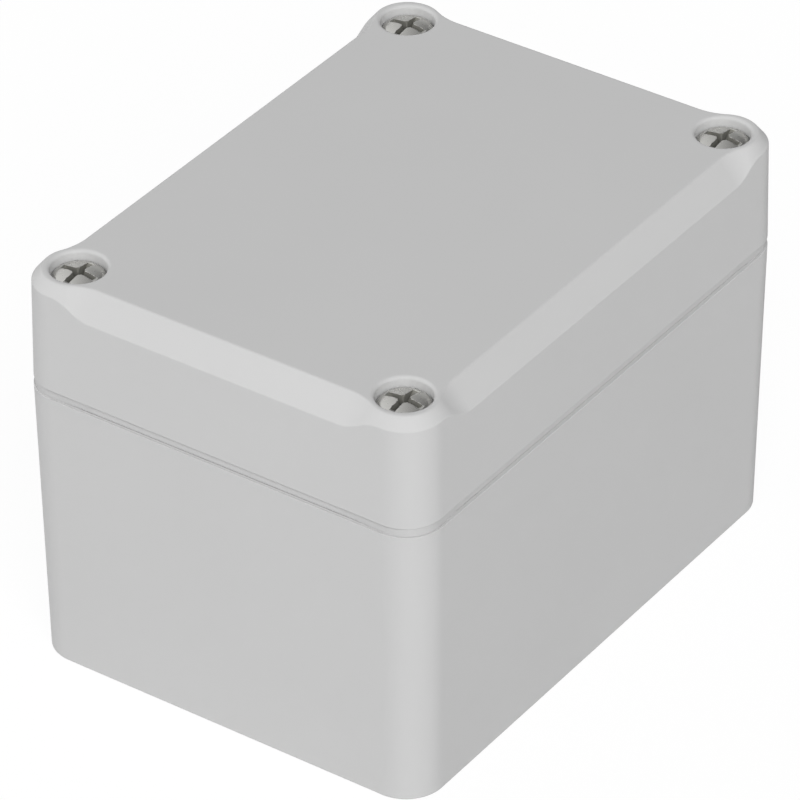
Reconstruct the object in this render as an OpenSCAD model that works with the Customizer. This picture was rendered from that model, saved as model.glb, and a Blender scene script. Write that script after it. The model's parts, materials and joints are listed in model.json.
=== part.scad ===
// Small sealed electronics enclosure: a drafted base, a chamfered lid with a recessed band above the seam,
// a gasket, four captive lid screws and the threaded inserts that they screw into.
// Millimetres, +Z up, origin at the centre of the underside, +X along the length.

/* [Housing] */
// Length over the walls at the seam
body_length = 65; // [58:0.5:90]
// Width over the walls at the seam
body_width = 47.6; // [42:0.2:70]
// Height from the underside to the top of the lid
body_height = 45; // [40:0.5:70]
// Height of the lid above the seam
lid_height = 13.2; // [11.5:0.1:16]
// Distance of the lid screws from the walls at the seam
screw_inset = 4.65; // [4.4:0.05:5.5]
// Radius of the vertical corners, the same at every height
corner_radius = 4.2; // [3.6:0.05:4.4]
// Draft of the outer and inner walls, away from the seam
draft_angle = 0.75; // [0.25:0.05:1.25]
// Wall thickness at the seam
wall = 3; // [2.7:0.1:3.6]
// Thickness of the base's floor
floor_thickness = 3; // [2.4:0.1:5]
// Thickness of the lid's top
top_thickness = 2.8; // [2.4:0.1:3.6]
// Rounding of the edge around the underside
foot_round = 0.1; // [0.05:0.05:0.6]
// Rounding between the inner walls and the floor or top
inner_round = 1; // [0.5:0.1:1.5]

/* [Seam] */
// Height of the recessed band along the lower edge of the lid
band_height = 0.95; // [0.5:0.05:1.2]
// Depth of that band
band_recess = 0.25; // [0.15:0.05:0.4]

/* [Lid edge] */
// Height of the chamfer along the four sides of the lid
chamfer_height = 2.65; // [1.8:0.05:3.4]
// Width of that chamfer, seen from above
chamfer_inset = 2.1; // [1.8:0.05:2.4]
// Width of the flat land around each counterbore, where the chamfer swings out round the screw
boss_land = 0.45; // [0.3:0.05:0.7]
// Radius of the hollow in the edge of the flat top, between a side and a screw
hollow_radius = 6.5; // [4:0.1:8]

/* [Seal] */
// Width of the land inside the gasket groove
seal_lip = 0.6; // [0.5:0.05:0.8]
// Width of the gasket groove in the lid
groove_width = 1.6; // [1.4:0.05:1.7]
// Depth of the gasket groove
groove_depth = 2.6; // [2:0.1:3.2]
// Width of the tongue on the base's rim
tongue_width = 0.8; // [0.6:0.05:1]
// Height of the tongue, which presses on the gasket
tongue_height = 1.4; // [1:0.1:1.6]
// Room between the gasket and each side of its groove
gasket_clearance = 0.1; // [0.05:0.05:0.2]
// Radius of the corner columns around the screws, inside the seal
column_radius = 5.6; // [5.4:0.1:6.2]
// Hollow between a corner column and the walls
column_fillet = 1.5; // [1:0.1:2]

/* [Lid screws] */
// Diameter of the screw head
head_diameter = 5.5; // [5:0.1:5.7]
// Height of the head's straight rim
head_height = 1.75; // [1.4:0.05:2]
// Rise of the domed top above the rim
head_dome = 0.45; // [0.2:0.05:0.6]
// Depth of the head's rim below the top of the lid
head_depth = 0.95; // [0.7:0.05:1.2]
// Room around the head in its counterbore
head_clearance = 0.2; // [0.15:0.05:0.3]
// Width of the edge break at the counterbore's mouth
counterbore_chamfer = 0.1; // [0.05:0.05:0.2]
// Diameter of the thinner neck that keeps the screw captive
neck_diameter = 2.2; // [1.8:0.1:2.3]
// Room around the neck in the lid
neck_clearance = 0.2; // [0.1:0.05:0.25]
// Thickness of the web below the head, which the neck passes through
captive_web = 2.5; // [1.5:0.1:3.5]
// Diameter over the thread
thread_diameter = 2.9; // [2.8:0.05:3]
// Length of the thread
thread_length = 6; // [5:0.1:7]
// Distance of the thread's upper end below the seam
thread_setback = 0.45; // [0.3:0.05:0.8]
// Room around the thread where it draws up into the lid
thread_pocket_clearance = 0.35; // [0.2:0.05:0.5]
// Edge break at the tip of the screw
tip_chamfer = 0.4; // [0.2:0.05:0.6]
// Width of the slot across the head and of the cross
drive_width = 0.8; // [0.6:0.05:1]
// Depth of the slot below the head's rim
slot_depth = 0.45; // [0.3:0.05:0.7]
// Length of the cross recess at the top of the dome
cross_length = 3.3; // [2.6:0.1:3.8]
// Depth of the cross recess below the head's rim
cross_depth = 1; // [0.7:0.05:1.1]

/* [Threaded inserts] */
// Diameter over the insert's two knurled bands
insert_diameter = 4.6; // [4.2:0.1:4.8]
// Length of the insert
insert_length = 6; // [5:0.1:7]
// Depth of the insert's upper face below the seam
insert_recess = 0.3; // [0.1:0.05:0.6]
// Width of the groove between the two bands
insert_groove = 1.2; // [0.8:0.1:1.6]
// Depth of that groove
insert_groove_depth = 0.35; // [0.2:0.05:0.5]
// Room between the insert and its hole in the base
insert_fit = 0.02; // [0.01:0.01:0.05]
// Room between the screw's thread and the insert
thread_fit = 0.05; // [0.02:0.01:0.08]
// Depth of the hole below the insert
insert_hole_run = 2; // [1:0.1:3]

/* [Board bosses] */
// Distance of the board bosses from the lid screws, along the length
board_inset_x = 7.35; // [7:0.05:12]
// Distance of the board bosses from the lid screws, along the width
board_inset_y = 6.65; // [6.5:0.05:9]
// Diameter of a board boss
board_boss_diameter = 5; // [4.5:0.1:5.5]
// Height of a board boss above the floor
board_boss_height = 4; // [3:0.1:8]
// Diameter of the pilot hole in a board boss
board_pilot = 2.2; // [1.8:0.1:2.6]
// Depth of the pilot hole in a board boss
board_pilot_depth = 5; // [3.5:0.1:5.2]

/* [Wall fixing] */
// Diameter of the pilot holes in the underside, one below each corner column
wall_pilot = 2.9; // [2.5:0.1:3.4]
// Depth of those pilot holes
wall_pilot_depth = 14; // [8:0.5:15]

/* [Hidden] */
$fn = 48;
arc_steps = 10;
fillet_steps = 4;
hollow_steps = 6;
foot_tries = 5;
cut_over = 1;
join_in = 0.5;
taper = tan(draft_angle);
seam_z = body_height - lid_height;
band_z = seam_z + band_height;
screw_x = body_length / 2 - screw_inset;
screw_y = body_width / 2 - screw_inset;
seat_z = body_height - head_depth - head_height;
rim_z = seat_z + head_height;
head_radius = head_diameter / 2;
counterbore_radius = head_radius + head_clearance;
thread_top_z = seam_z - thread_setback;
tip_z = thread_top_z - thread_length;
thread_radius = thread_diameter / 2;
insert_top_z = seam_z - insert_recess;
insert_hole_z = insert_top_z - insert_length - insert_hole_run;
insert_radius = insert_diameter / 2;
tongue_in = seal_lip + (groove_width - tongue_width) / 2;
board_x = screw_x - board_inset_x;
board_y = screw_y - board_inset_y;
board_top_z = floor_thickness + board_boss_height;
dome_radius = (head_radius * head_radius + head_dome * head_dome) / (2 * head_dome);
wall_top = screw_inset - lid_height * taper;
side_top = wall_top - chamfer_inset;
boss_top = counterbore_radius + boss_land;
hollow_turn = acos((side_top + hollow_radius) / (boss_top + hollow_radius));
hollow_centre = (boss_top + hollow_radius) * [cos(hollow_turn), -sin(hollow_turn)];
chamfer_slope = chamfer_height / (chamfer_inset + chamfer_height * taper);

plastic = [0.78, 0.79, 0.78];
rubber = [0.16, 0.16, 0.17];
steel = [0.74, 0.75, 0.76];
brass = [0.80, 0.65, 0.32];

// One corner's points, seen from its screw axis with the corner in the first quarter, carried round
// the four corners anticlockwise.
function ring(corner) = let (back = [for (i = [len(corner) - 1:-1:0]) corner[i]]) concat(
    [for (p = corner) [screw_x + p.x, screw_y + p.y, p.z]],
    [for (p = back) [-screw_x - p.x, screw_y + p.y, p.z]],
    [for (p = corner) [-screw_x - p.x, -screw_y - p.y, p.z]],
    [for (p = back) [screw_x + p.x, -screw_y - p.y, p.z]]);

// The ring of a flat outline at height z.
function level_ring(corner, z) = ring([for (p = corner) [p.x, p.y, z]]);

function arc(centre, radius, from, to, steps) = [for (i = [0:steps])
    let (a = from + (to - from) * i / steps) centre + radius * [cos(a), sin(a)]];

// The plain outer corner, whose straight sides are a distance out from the screw.
function round_corner(out) = arc((out - corner_radius) * [1, 1], corner_radius, 0, 90, arc_steps);

// The inner outline at a corner, grown by d from the seal's inner edge: wall, hollow, column, hollow, wall.
function seal_corner(d) = let (
    line = screw_inset - wall + d,
    column = column_radius - d,
    hollow = column_fillet + d,
    side = line - hollow,
    along = sqrt(pow(column + hollow, 2) - pow(side, 2)),
    turn = atan2(along, side),
    first = arc([side, -along], hollow, 0, 180 - turn, fillet_steps),
    middle = arc([0, 0], column, -turn, turn - 270, arc_steps),
    last = [for (i = [fillet_steps:-1:0]) [first[i].y, first[i].x]])
    concat(first, [for (i = [1:arc_steps - 1]) middle[i]], last);

// Skin over a stack of rings that all have the same number of points, lowest ring first, closed by fans
// from the middle of the lowest and of the highest ring.
module loft(rings) {
    count = len(rings[0]);
    last = len(rings) - 1;
    low_middle = count * len(rings);
    top_middle = low_middle + 1;
    middles = [[0, 0, rings[0][0].z], [0, 0, rings[last][0].z]];
    sides = [for (k = [0:last - 1], i = [0:count - 1]) let (
        a = k * count + i,
        b = k * count + (i + 1) % count,
        c = b + count,
        d = a + count)
        each [[a, d, c], [a, c, b]]];
    low_fan = [for (i = [0:count - 1]) [low_middle, i, (i + 1) % count]];
    top_fan = [for (i = [0:count - 1]) [top_middle, last * count + (i + 1) % count, last * count + i]];
    polyhedron(points = concat([for (r = rings) each r], middles), faces = concat(low_fan, sides, top_fan));
}

// Wall between two outlines of the seal, grown by d0 and d1, from z0 up to z1.
module seal_band(d0, d1, z0, z1) {
    outer = [for (p = level_ring(seal_corner(d1), 0)) [p.x, p.y]];
    inner = [for (p = level_ring(seal_corner(d0), 0)) [p.x, p.y]];
    translate([0, 0, z0]) linear_extrude(z1 - z0) difference() {
        polygon(outer);
        polygon(inner);
    }
}

// Hollow of the base or lid, from the seam to the flat at z_end, with a rounded edge there.
module cavity(z_end) {
    way = z_end > seam_z ? 1 : -1;
    depth = abs(z_end - seam_z);
    rounded = [for (i = [0:fillet_steps]) let (a = 90 * i / fillet_steps) level_ring(
        seal_corner(-(depth - inner_round) * taper - inner_round * (1 - cos(a))),
        z_end - way * inner_round * (1 - sin(a)))];
    open_end = level_ring(seal_corner(0), seam_z - way * cut_over);
    rim = level_ring(seal_corner(0), seam_z);
    rings = concat([open_end, rim], rounded);
    loft(way > 0 ? rings : [for (i = [len(rings) - 1:-1:0]) rings[i]]);
}

module at_corners() {
    for (sx = [-1, 1], sy = [-1, 1]) translate([sx * screw_x, sy * screw_y, 0]) children();
}

module at_board_bosses() {
    for (sx = [-1, 1], sy = [-1, 1]) translate([sx * board_x, sy * board_y, 0]) children();
}

function base_out(z) = screw_inset - (seam_z - z) * taper;

module base_shell() {
    foot = [for (i = [0:fillet_steps]) let (a = 90 * i / fillet_steps) level_ring(
        round_corner(base_out(foot_round) - foot_round * (1 - sin(a))),
        foot_round * (1 - cos(a)))];
    loft(concat(foot, [level_ring(round_corner(screw_inset), seam_z)]));
}

module base() color(plastic) difference() {
    union() {
        difference() {
            union() {
                base_shell();
                seal_band(tongue_in, tongue_in + tongue_width, seam_z - join_in, seam_z + tongue_height);
            }
            cavity(floor_thickness);
        }
        at_board_bosses() translate([0, 0, floor_thickness - join_in])
            cylinder(d = board_boss_diameter, h = board_boss_height + join_in);
    }
    at_board_bosses() translate([0, 0, board_top_z - board_pilot_depth])
        cylinder(d = board_pilot, h = board_pilot_depth + cut_over);
    at_corners() translate([0, 0, insert_hole_z])
        cylinder(r = insert_radius + insert_fit, h = seam_z - insert_hole_z + cut_over);
    at_corners() translate([0, 0, -cut_over])
        cylinder(d = wall_pilot, h = wall_pilot_depth + cut_over);
}

// Half of the flat top's edge at one corner, from the straight side to the corner's middle. Each point has
// the direction in which the chamfer falls away from it.
function hollow_column(a) = concat(hollow_centre - hollow_radius * [cos(a), sin(a)], a);
function boss_column(a) = [boss_top * cos(a), boss_top * sin(a), a];
top_columns = concat(
    [for (i = [0:hollow_steps]) hollow_column(-hollow_turn * i / hollow_steps)],
    [for (i = [hollow_steps - 1:-1:0]) boss_column(-hollow_turn * i / hollow_steps)],
    [for (i = [1:arc_steps / 2]) boss_column(90 * i / arc_steps)]);

// How far a column goes in its direction to a rounded outline, whose straight sides are a distance out.
function reach(column, out, round) = let (
    side = (out - column.x) / cos(column.z),
    centre = (out - round) * [1, 1],
    start = [column.x, column.y] - centre,
    along = start * [cos(column.z), sin(column.z)],
    on_side = column.y + side * sin(column.z) <= centre.y)
    on_side ? side : sqrt(along * along - start * start + round * round) - along;

// How far a column's chamfer runs to the drafted wall. It keeps its slope all round, so that its foot climbs
// where the flat top swings out round a screw. The wall's distance depends on the foot's height, so the run
// is found in a few tries.
function chamfer_run(column, run = 0, tries = foot_tries) = tries == 0 ? run :
    chamfer_run(column, reach(column, wall_top + chamfer_slope * run * taper, corner_radius), tries - 1);

function lid_point(column, run, z) = [column.x + run * cos(column.z), column.y + run * sin(column.z), z];

// Ring of the lid from half a corner's points, which are mirrored to the other half.
function lid_ring(half) = let (last = len(half) - 2)
    ring(concat(half, [for (i = [last:-1:0]) [half[i].y, half[i].x, half[i].z]]));

// Ring of the lid's outside at height z, where its straight sides are a distance out.
function lid_outline(out, round, z) = lid_ring([for (c = top_columns) lid_point(c, reach(c, out, round), z)]);

module lid_shell() {
    band = screw_inset - band_recess;
    band_round = corner_radius - band_recess;
    foot = [for (c = top_columns)
        let (run = chamfer_run(c)) lid_point(c, run, body_height - chamfer_slope * run)];
    loft([
        lid_outline(band, band_round, seam_z),
        lid_outline(band, band_round, band_z),
        lid_outline(screw_inset - band_height * taper, corner_radius, band_z),
        lid_ring(foot),
        lid_ring([for (c = top_columns) lid_point(c, 0, body_height)])]);
}

// Bore for one captive screw: counterbore for the head, web around the neck, pocket for the thread.
module screw_bore() {
    pocket_radius = thread_radius + thread_pocket_clearance;
    translate([0, 0, seat_z]) cylinder(r = counterbore_radius, h = body_height - seat_z + cut_over);
    translate([0, 0, body_height - counterbore_chamfer])
        cylinder(r1 = counterbore_radius, r2 = counterbore_radius + counterbore_chamfer + cut_over,
            h = counterbore_chamfer + cut_over);
    translate([0, 0, seam_z - cut_over])
        cylinder(r = neck_diameter / 2 + neck_clearance, h = seat_z - seam_z + 2 * cut_over);
    translate([0, 0, seam_z - cut_over])
        cylinder(r = pocket_radius, h = seat_z - captive_web - seam_z + cut_over);
}

module lid() color(plastic) difference() {
    lid_shell();
    cavity(body_height - top_thickness);
    seal_band(seal_lip, seal_lip + groove_width, seam_z - cut_over, seam_z + groove_depth);
    at_corners() screw_bore();
}

module gasket() color(rubber) seal_band(
    seal_lip + gasket_clearance,
    seal_lip + groove_width - gasket_clearance,
    seam_z + tongue_height,
    seam_z + groove_depth);

// Recess for a cross-point driver, tapering towards its bottom.
module cross_recess() {
    top_z = rim_z + head_dome;
    low = drive_width / 2;
    for (turn = [0, 90]) rotate([0, 0, turn]) rotate([90, 0, 0]) translate([0, 0, -drive_width / 2])
        linear_extrude(drive_width) polygon([
            [-low, rim_z - cross_depth],
            [low, rim_z - cross_depth],
            [cross_length / 2, top_z],
            [cross_length / 2, top_z + cut_over],
            [-cross_length / 2, top_z + cut_over],
            [-cross_length / 2, top_z]]);
}

module screw_body() {
    dome_centre = rim_z + head_dome - dome_radius;
    neck_radius = neck_diameter / 2;
    intersection() {
        translate([0, 0, seat_z]) cylinder(r = head_radius, h = head_height + head_dome);
        translate([0, 0, dome_centre]) sphere(r = dome_radius);
    }
    rotate_extrude() polygon([
        [0, seat_z + join_in],
        [neck_radius, seat_z + join_in],
        [neck_radius, thread_top_z + thread_radius - neck_radius],
        [thread_radius, thread_top_z],
        [thread_radius, tip_z + tip_chamfer],
        [thread_radius - tip_chamfer, tip_z],
        [0, tip_z]]);
}

module lid_screw() color(steel) difference() {
    screw_body();
    translate([-head_diameter, -drive_width / 2, rim_z - slot_depth])
        cube([2 * head_diameter, drive_width, slot_depth + head_dome + cut_over]);
    cross_recess();
}

module insert() color(brass) {
    groove_radius = insert_radius - insert_groove_depth;
    band = (insert_length - insert_groove) / 2;
    low_z = insert_top_z - insert_length;
    rotate_extrude() polygon([
        [thread_radius + thread_fit, low_z],
        [insert_radius, low_z],
        [insert_radius, low_z + band],
        [groove_radius, low_z + band],
        [groove_radius, insert_top_z - band],
        [insert_radius, insert_top_z - band],
        [insert_radius, insert_top_z],
        [thread_radius + thread_fit, insert_top_z]]);
}

base();
lid();
gasket();
translate([-screw_x, -screw_y, 0]) lid_screw();  // lid_screw_front_left
translate([screw_x, -screw_y, 0]) lid_screw();  // lid_screw_front_right
translate([-screw_x, screw_y, 0]) lid_screw();  // lid_screw_rear_left
translate([screw_x, screw_y, 0]) lid_screw();  // lid_screw_rear_right
translate([-screw_x, -screw_y, 0]) insert();  // insert_front_left
translate([screw_x, -screw_y, 0]) insert();  // insert_front_right
translate([-screw_x, screw_y, 0]) insert();  // insert_rear_left
translate([screw_x, screw_y, 0]) insert();  // insert_rear_right
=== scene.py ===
# %% [markdown]
# # Dressing a small sealed enclosure
#
# The object is a light grey moulded box with a screwed lid, the kind that holds one small circuit board.
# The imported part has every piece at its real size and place. This lesson gives each piece its finished
# surface: softened edges, cut threads, moulded grain, turned metal. Nothing moves, and the box keeps its
# size. Every step has a short text first, and then the code.

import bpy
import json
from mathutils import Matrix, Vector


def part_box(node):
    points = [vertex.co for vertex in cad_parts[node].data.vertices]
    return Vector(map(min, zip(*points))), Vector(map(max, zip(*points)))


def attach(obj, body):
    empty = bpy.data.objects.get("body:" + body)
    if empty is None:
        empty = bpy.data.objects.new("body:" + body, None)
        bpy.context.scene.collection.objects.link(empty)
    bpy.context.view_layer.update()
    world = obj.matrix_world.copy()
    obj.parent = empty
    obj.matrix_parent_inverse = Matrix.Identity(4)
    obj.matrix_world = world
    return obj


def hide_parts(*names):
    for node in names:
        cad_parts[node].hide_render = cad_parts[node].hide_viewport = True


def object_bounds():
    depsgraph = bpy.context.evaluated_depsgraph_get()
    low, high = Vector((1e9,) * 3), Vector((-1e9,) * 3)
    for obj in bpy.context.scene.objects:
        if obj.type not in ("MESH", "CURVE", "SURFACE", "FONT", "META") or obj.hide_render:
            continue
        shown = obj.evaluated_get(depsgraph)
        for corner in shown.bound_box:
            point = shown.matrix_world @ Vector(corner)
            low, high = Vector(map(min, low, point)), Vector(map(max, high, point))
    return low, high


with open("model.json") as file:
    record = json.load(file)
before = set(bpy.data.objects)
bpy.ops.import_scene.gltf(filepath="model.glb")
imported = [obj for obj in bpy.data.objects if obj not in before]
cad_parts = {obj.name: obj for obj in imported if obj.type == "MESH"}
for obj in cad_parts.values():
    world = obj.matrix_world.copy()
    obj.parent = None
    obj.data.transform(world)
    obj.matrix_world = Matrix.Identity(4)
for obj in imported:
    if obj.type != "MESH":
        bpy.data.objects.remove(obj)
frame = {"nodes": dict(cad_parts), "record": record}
cad_low, cad_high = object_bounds()
print("nodes:", sorted(frame["nodes"]))

# %% [markdown]
# ## Measuring the frame
#
# On a bench the first tool is the caliper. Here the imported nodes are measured, so that each dressed piece
# starts from the place of the solid that it stands for. All sizes are in metres, and `mm` keeps them
# readable. The walls lean by the draft of the mould while the screws stand upright, so the screw axes are
# the natural datum for every outline below.

# %% Measure the frame
import json
import math

import bmesh
import bpy
from mathutils import Matrix, Vector

mm = 0.001
base_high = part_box("base")[1]
lid_low, lid_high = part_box("lid")
gasket_low, gasket_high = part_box("gasket")
screw_low, screw_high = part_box("lid_screw_rear_right")
insert_low, insert_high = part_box("insert_rear_right")
mounts = {m["name"]: m for m in frame["record"]["mounts"]}

screw_x, screw_y = ((screw_low + screw_high) / 2).xy
screw_inset = base_high.x - screw_x
corner_radius = 4.2 * mm
seam_z = lid_low.z
top_z = lid_high.z
draft_degrees = 0.75
draft = math.tan(math.radians(draft_degrees))
print(f"screw axes {screw_x / mm:.2f} and {screw_y / mm:.2f} mm out, seam {seam_z / mm:.2f} mm up")

# %% [markdown]
# ## Sections with softened corners
#
# No moulded or turned edge is perfectly sharp, and it is the small rounding that catches the light. A Bevel
# modifier could add it afterwards, but on shapes with many holes it slips and overlaps. So each section is
# written as a few corner points, each with the radius of its rounding, and one helper puts an arc there.
# A section that starts or ends beside a rounding keeps clear of its arc by a little more than its radius.

# %% Softened sections
SAME_POINT = 1e-6
CLEAR = 1.2


def soften(corners, steps=4):
    """Points along a section whose corners are (across, height, radius)."""
    points = []
    for i, (across, height, radius) in enumerate(corners):
        here = Vector((across, height))
        arc = [here]
        if radius > 0:
            back = (Vector(corners[i - 1][:2]) - here).normalized()
            ahead = (Vector(corners[i + 1][:2]) - here).normalized()
            half = back.angle(ahead) / 2
            middle = here + (back + ahead).normalized() * radius / math.sin(half)
            first = here + back * radius / math.tan(half) - middle
            start = math.atan2(first.y, first.x)
            sweep = math.copysign(math.pi - 2 * half, ahead.cross(back))
            turns = [start + sweep * k / steps for k in range(steps + 1)]
            arc = [middle + radius * Vector((math.cos(a), math.sin(a))) for a in turns]
        points += [p for p in arc if not points or (p - points[-1]).length > SAME_POINT]
    return points


print("a softened square corner:", len(soften([(0, 0, 0), (1, 0, 0.2), (1, 1, 0)])), "points")

# %% [markdown]
# ## Rings, skins and fills
#
# Every wall of the housing is a stack of closed rings. A ring is drawn once for one corner and carried
# round the other three, so the four corners can't differ. A skin joins neighbouring rings with quads, a
# turned surface is a skin of circles, and a fill closes a flat area around its holes. With bmesh these
# three helpers build a wall that is closed all round, which a stack of booleans seldom leaves behind.

# %% Rings, skins and fills
QUARTER = math.pi / 2


def round_corner(out, steps=24):
    """The plain corner of the housing, whose straight sides are a distance out from the screw axis."""
    centre = out - corner_radius
    turns = [QUARTER * i / steps for i in range(steps + 1)]
    return [(centre + corner_radius * math.cos(a), centre + corner_radius * math.sin(a)) for a in turns]


def ring(corner):
    """One corner's points, seen from its screw axis, carried round the four corners."""
    back = corner[::-1]
    quarters = ((1, 1, corner), (-1, 1, back), (-1, -1, corner), (1, -1, back))
    return [(sx * (screw_x + x), sy * (screw_y + y), z)
            for sx, sy, points in quarters for x, y, z in points]


def level_ring(outline, z):
    """The ring of a flat corner outline at height z."""
    return ring([(x, y, z) for x, y in outline])


def skin(bm, rings):
    """Quads between neighbouring rings. A ring of one point closes the skin with a fan."""
    loops = [[bm.verts.new(p) for p in points] for points in rings]
    for first, second in zip(loops, loops[1:]):
        count = max(len(first), len(second))
        for i in range(count):
            j = (i + 1) % count
            corners = [first[i % len(first)], first[j % len(first)],
                       second[j % len(second)], second[i % len(second)]]
            bm.faces.new(list(dict.fromkeys(corners)))
    return loops


def turned(bm, section, centre=(0, 0), steps=64):
    """A surface of revolution. The section's points are (radius, height) about an upright axis."""
    turns = [2 * math.pi * i / steps for i in range(steps)]
    rings = []
    for radius, height in section:
        around = turns if radius > SAME_POINT else turns[:1]
        rings.append([(centre[0] + radius * math.cos(a), centre[1] + radius * math.sin(a), height)
                      for a in around])
    return skin(bm, rings)


def fill(bm, loops):
    """Closes the flat area between an outer loop and the loops of its holes."""
    pairs = [pair for loop in loops for pair in zip(loop, loop[1:] + loop[:1])]
    edges = [bm.edges.get(pair) or bm.edges.new(pair) for pair in pairs]
    bmesh.ops.triangle_fill(bm, edges=edges, use_beauty=True)


def at_four(x, y):
    """The four places of a part that is repeated in each quarter."""
    return [(sx * x, sy * y) for sx in (-1, 1) for sy in (-1, 1)]


print("a ring of the plain outline has", len(level_ring(round_corner(screw_inset), seam_z)), "points")

# %% [markdown]
# ## From a closed skin to a finished piece
#
# Smooth shading blends the direction of neighbouring faces. Beside a large flat face, a narrow rounding
# would then bend the shading of the whole flat. Weighted normals cure that: each face counts by its area,
# so the flats stay flat and only the roundings turn. Edges steeper than a set angle stay crisp.

# %% Finish a piece
CRISP_ANGLE = math.radians(35)
BY_AREA_ONLY = 100


def in_scene(name, data):
    """A new object at the origin."""
    obj = bpy.data.objects.new(name, data)
    bpy.context.scene.collection.objects.link(obj)
    return obj


def flats_shade_flat(obj):
    obj.data.shade_smooth()
    obj.data.set_sharp_from_angle(angle=CRISP_ANGLE)
    flats = obj.modifiers.new("flats shade flat", "WEIGHTED_NORMAL")
    flats.keep_sharp = True
    return flats


def finished(bm, name, *materials):
    """An object at the origin from a closed bmesh, with flats that shade flat."""
    bmesh.ops.recalc_face_normals(bm, faces=bm.faces)
    open_edges = sum(not e.is_manifold for e in bm.edges)
    mesh = bpy.data.meshes.new(name)
    bm.to_mesh(mesh)
    bm.free()
    for material in materials:
        mesh.materials.append(material)
    obj = in_scene(name, mesh)
    flats_shade_flat(obj).weight = BY_AREA_ONLY
    print(f"{name}: {len(mesh.polygons)} faces, {open_edges} open edges")
    return obj


print(f"edges over {math.degrees(CRISP_ANGLE):.0f} degrees stay crisp")

# %% [markdown]
# ## The housing's plastic
#
# The housing is moulded in a neutral light grey with a fine spark-eroded grain, the dull skin that such
# boxes have so that fingers don't mark them. An image could carry the grain, but noise on Object
# coordinates has no seams and keeps its scale on every piece. Three scales work together: the grain as
# bump, patches that are a touch glossier where the melt met the tool better, and a faint drift of tone.
# Node trees take many lines to wire by hand, so a small helper adds a node and fills its inputs.

# %% Moulded plastic
def fill_inputs(tree, node, inputs):
    """Links the inputs that are given as sockets, and sets the others."""
    for socket, source in inputs.items():
        if isinstance(source, bpy.types.NodeSocket):
            tree.links.new(source, node.inputs[socket])
        else:
            node.inputs[socket].default_value = source


def adder(tree):
    """A helper that adds a node to the tree, with its settings and inputs, and gives its outputs."""
    def add(kind, inputs=(), **settings):
        node = tree.nodes.new(kind)
        for key, value in settings.items():
            setattr(node, key, value)
        fill_inputs(tree, node, dict(inputs))
        return node.outputs

    return add


def new_material(name):
    """A node material, the adder for its tree, and a helper that fills its Principled shader."""
    material = bpy.data.materials.new(name)
    material.use_nodes = True
    tree = material.node_tree

    def shade(inputs):
        fill_inputs(tree, tree.nodes["Principled BSDF"], inputs)

    return material, adder(tree), shade


def noise(add, place, scale, detail):
    return add("ShaderNodeTexNoise", {"Vector": place, "Scale": scale, "Detail": detail})["Fac"]


def bumps(add, height, strength, distance):
    return add("ShaderNodeBump", {"Height": height, "Strength": strength, "Distance": distance})["Normal"]


def ramp(add, source, low, high):
    """Spreads a 0 to 1 value over low to high, which are numbers or colours."""
    colour = add("ShaderNodeValToRGB", {"Fac": source})["Color"]
    for element, value in zip(colour.node.color_ramp.elements, (low, high)):
        element.color = (value, value, value, 1) if isinstance(value, float) else value
    return colour


def moulded_plastic():
    material, add, shade = new_material("moulded_grey_plastic")
    place = add("ShaderNodeTexCoord")["Object"]
    drift = noise(add, place, scale=70.0, detail=2.0)
    patches = noise(add, place, scale=420.0, detail=3.0)
    grain = noise(add, place, scale=5200.0, detail=2.0)
    shade({"Base Color": ramp(add, drift, low=0.520, high=0.536),
           "Roughness": ramp(add, patches, low=0.56, high=0.68),
           "Normal": bumps(add, grain, strength=0.12, distance=0.02 * mm),
           "Specular IOR Level": 0.2})
    return material


plastic = moulded_plastic()
print("made", plastic.name)

# %% [markdown]
# ## The lid's moulded edge
#
# The lid is the piece that gives the box its face. A chamfer runs all round its flat top, wide along the
# four sides. At each corner the top swings out round a screw, a little off its axis so that the land is
# widest at the tip. The chamfer keeps its slope there, so it gets narrower and its foot climbs. A stack of
# bevels could come close for one picture, but the edge follows a rule. So it is built from upright sections:
# each starts at a point of the top's edge, and has the direction in which the chamfer falls away.

# %% Rules of the lid's edge
chamfer_height = 2.65 * mm
chamfer_inset = 2.1 * mm
boss_land = 0.57 * mm
boss_shift = 0.16 * mm
hollow_radius = 6.5 * mm
head_radius = (screw_high.x - screw_low.x) / 2
head_gap = 0.08 * mm
counterbore_radius = head_radius + head_gap

wall_top = screw_inset - (top_z - seam_z) * draft
side_top = wall_top - chamfer_inset
boss_top = counterbore_radius + boss_land
chamfer_slope = chamfer_height / (chamfer_inset + chamfer_height * draft)


def edge_columns(steps=20):
    """Half of the top's edge at one corner: x and y from the screw axis, and the direction of the fall."""
    far = boss_top + hollow_radius
    swing = math.acos((side_top - boss_shift + hollow_radius) / far)
    hollow_x = boss_shift + far * math.cos(swing)
    hollow_y = boss_shift - far * math.sin(swing)
    columns = []
    for i in range(steps + 1):
        a = -swing * i / steps
        columns.append((hollow_x - hollow_radius * math.cos(a), hollow_y - hollow_radius * math.sin(a), a))
    for i in range(1, steps + 1):
        a = (QUARTER / 2 + swing) * i / steps - swing
        columns.append((boss_shift + boss_top * math.cos(a), boss_shift + boss_top * math.sin(a), a))
    return columns


print(f"the chamfer falls {math.degrees(math.atan(chamfer_slope)):.1f} degrees")

# %% [markdown]
# ## Sections of the lid's edge
#
# Each section goes from the seam up to the flat top: a recessed band, a small overhang, the drafted wall and
# the chamfer. The corners of the wall keep one radius while the wall leans in, as a ball-nosed tool leaves
# them, so they don't turn about the screw. The band gets shallower at the corners, and the roundings of its
# overhang shrink with it. The helper `reach` finds how far away an outline is in a section's own direction.
# The chamfer's run depends on the height of its foot and the other way round, so a few rounds of measuring
# settle it.

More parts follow.
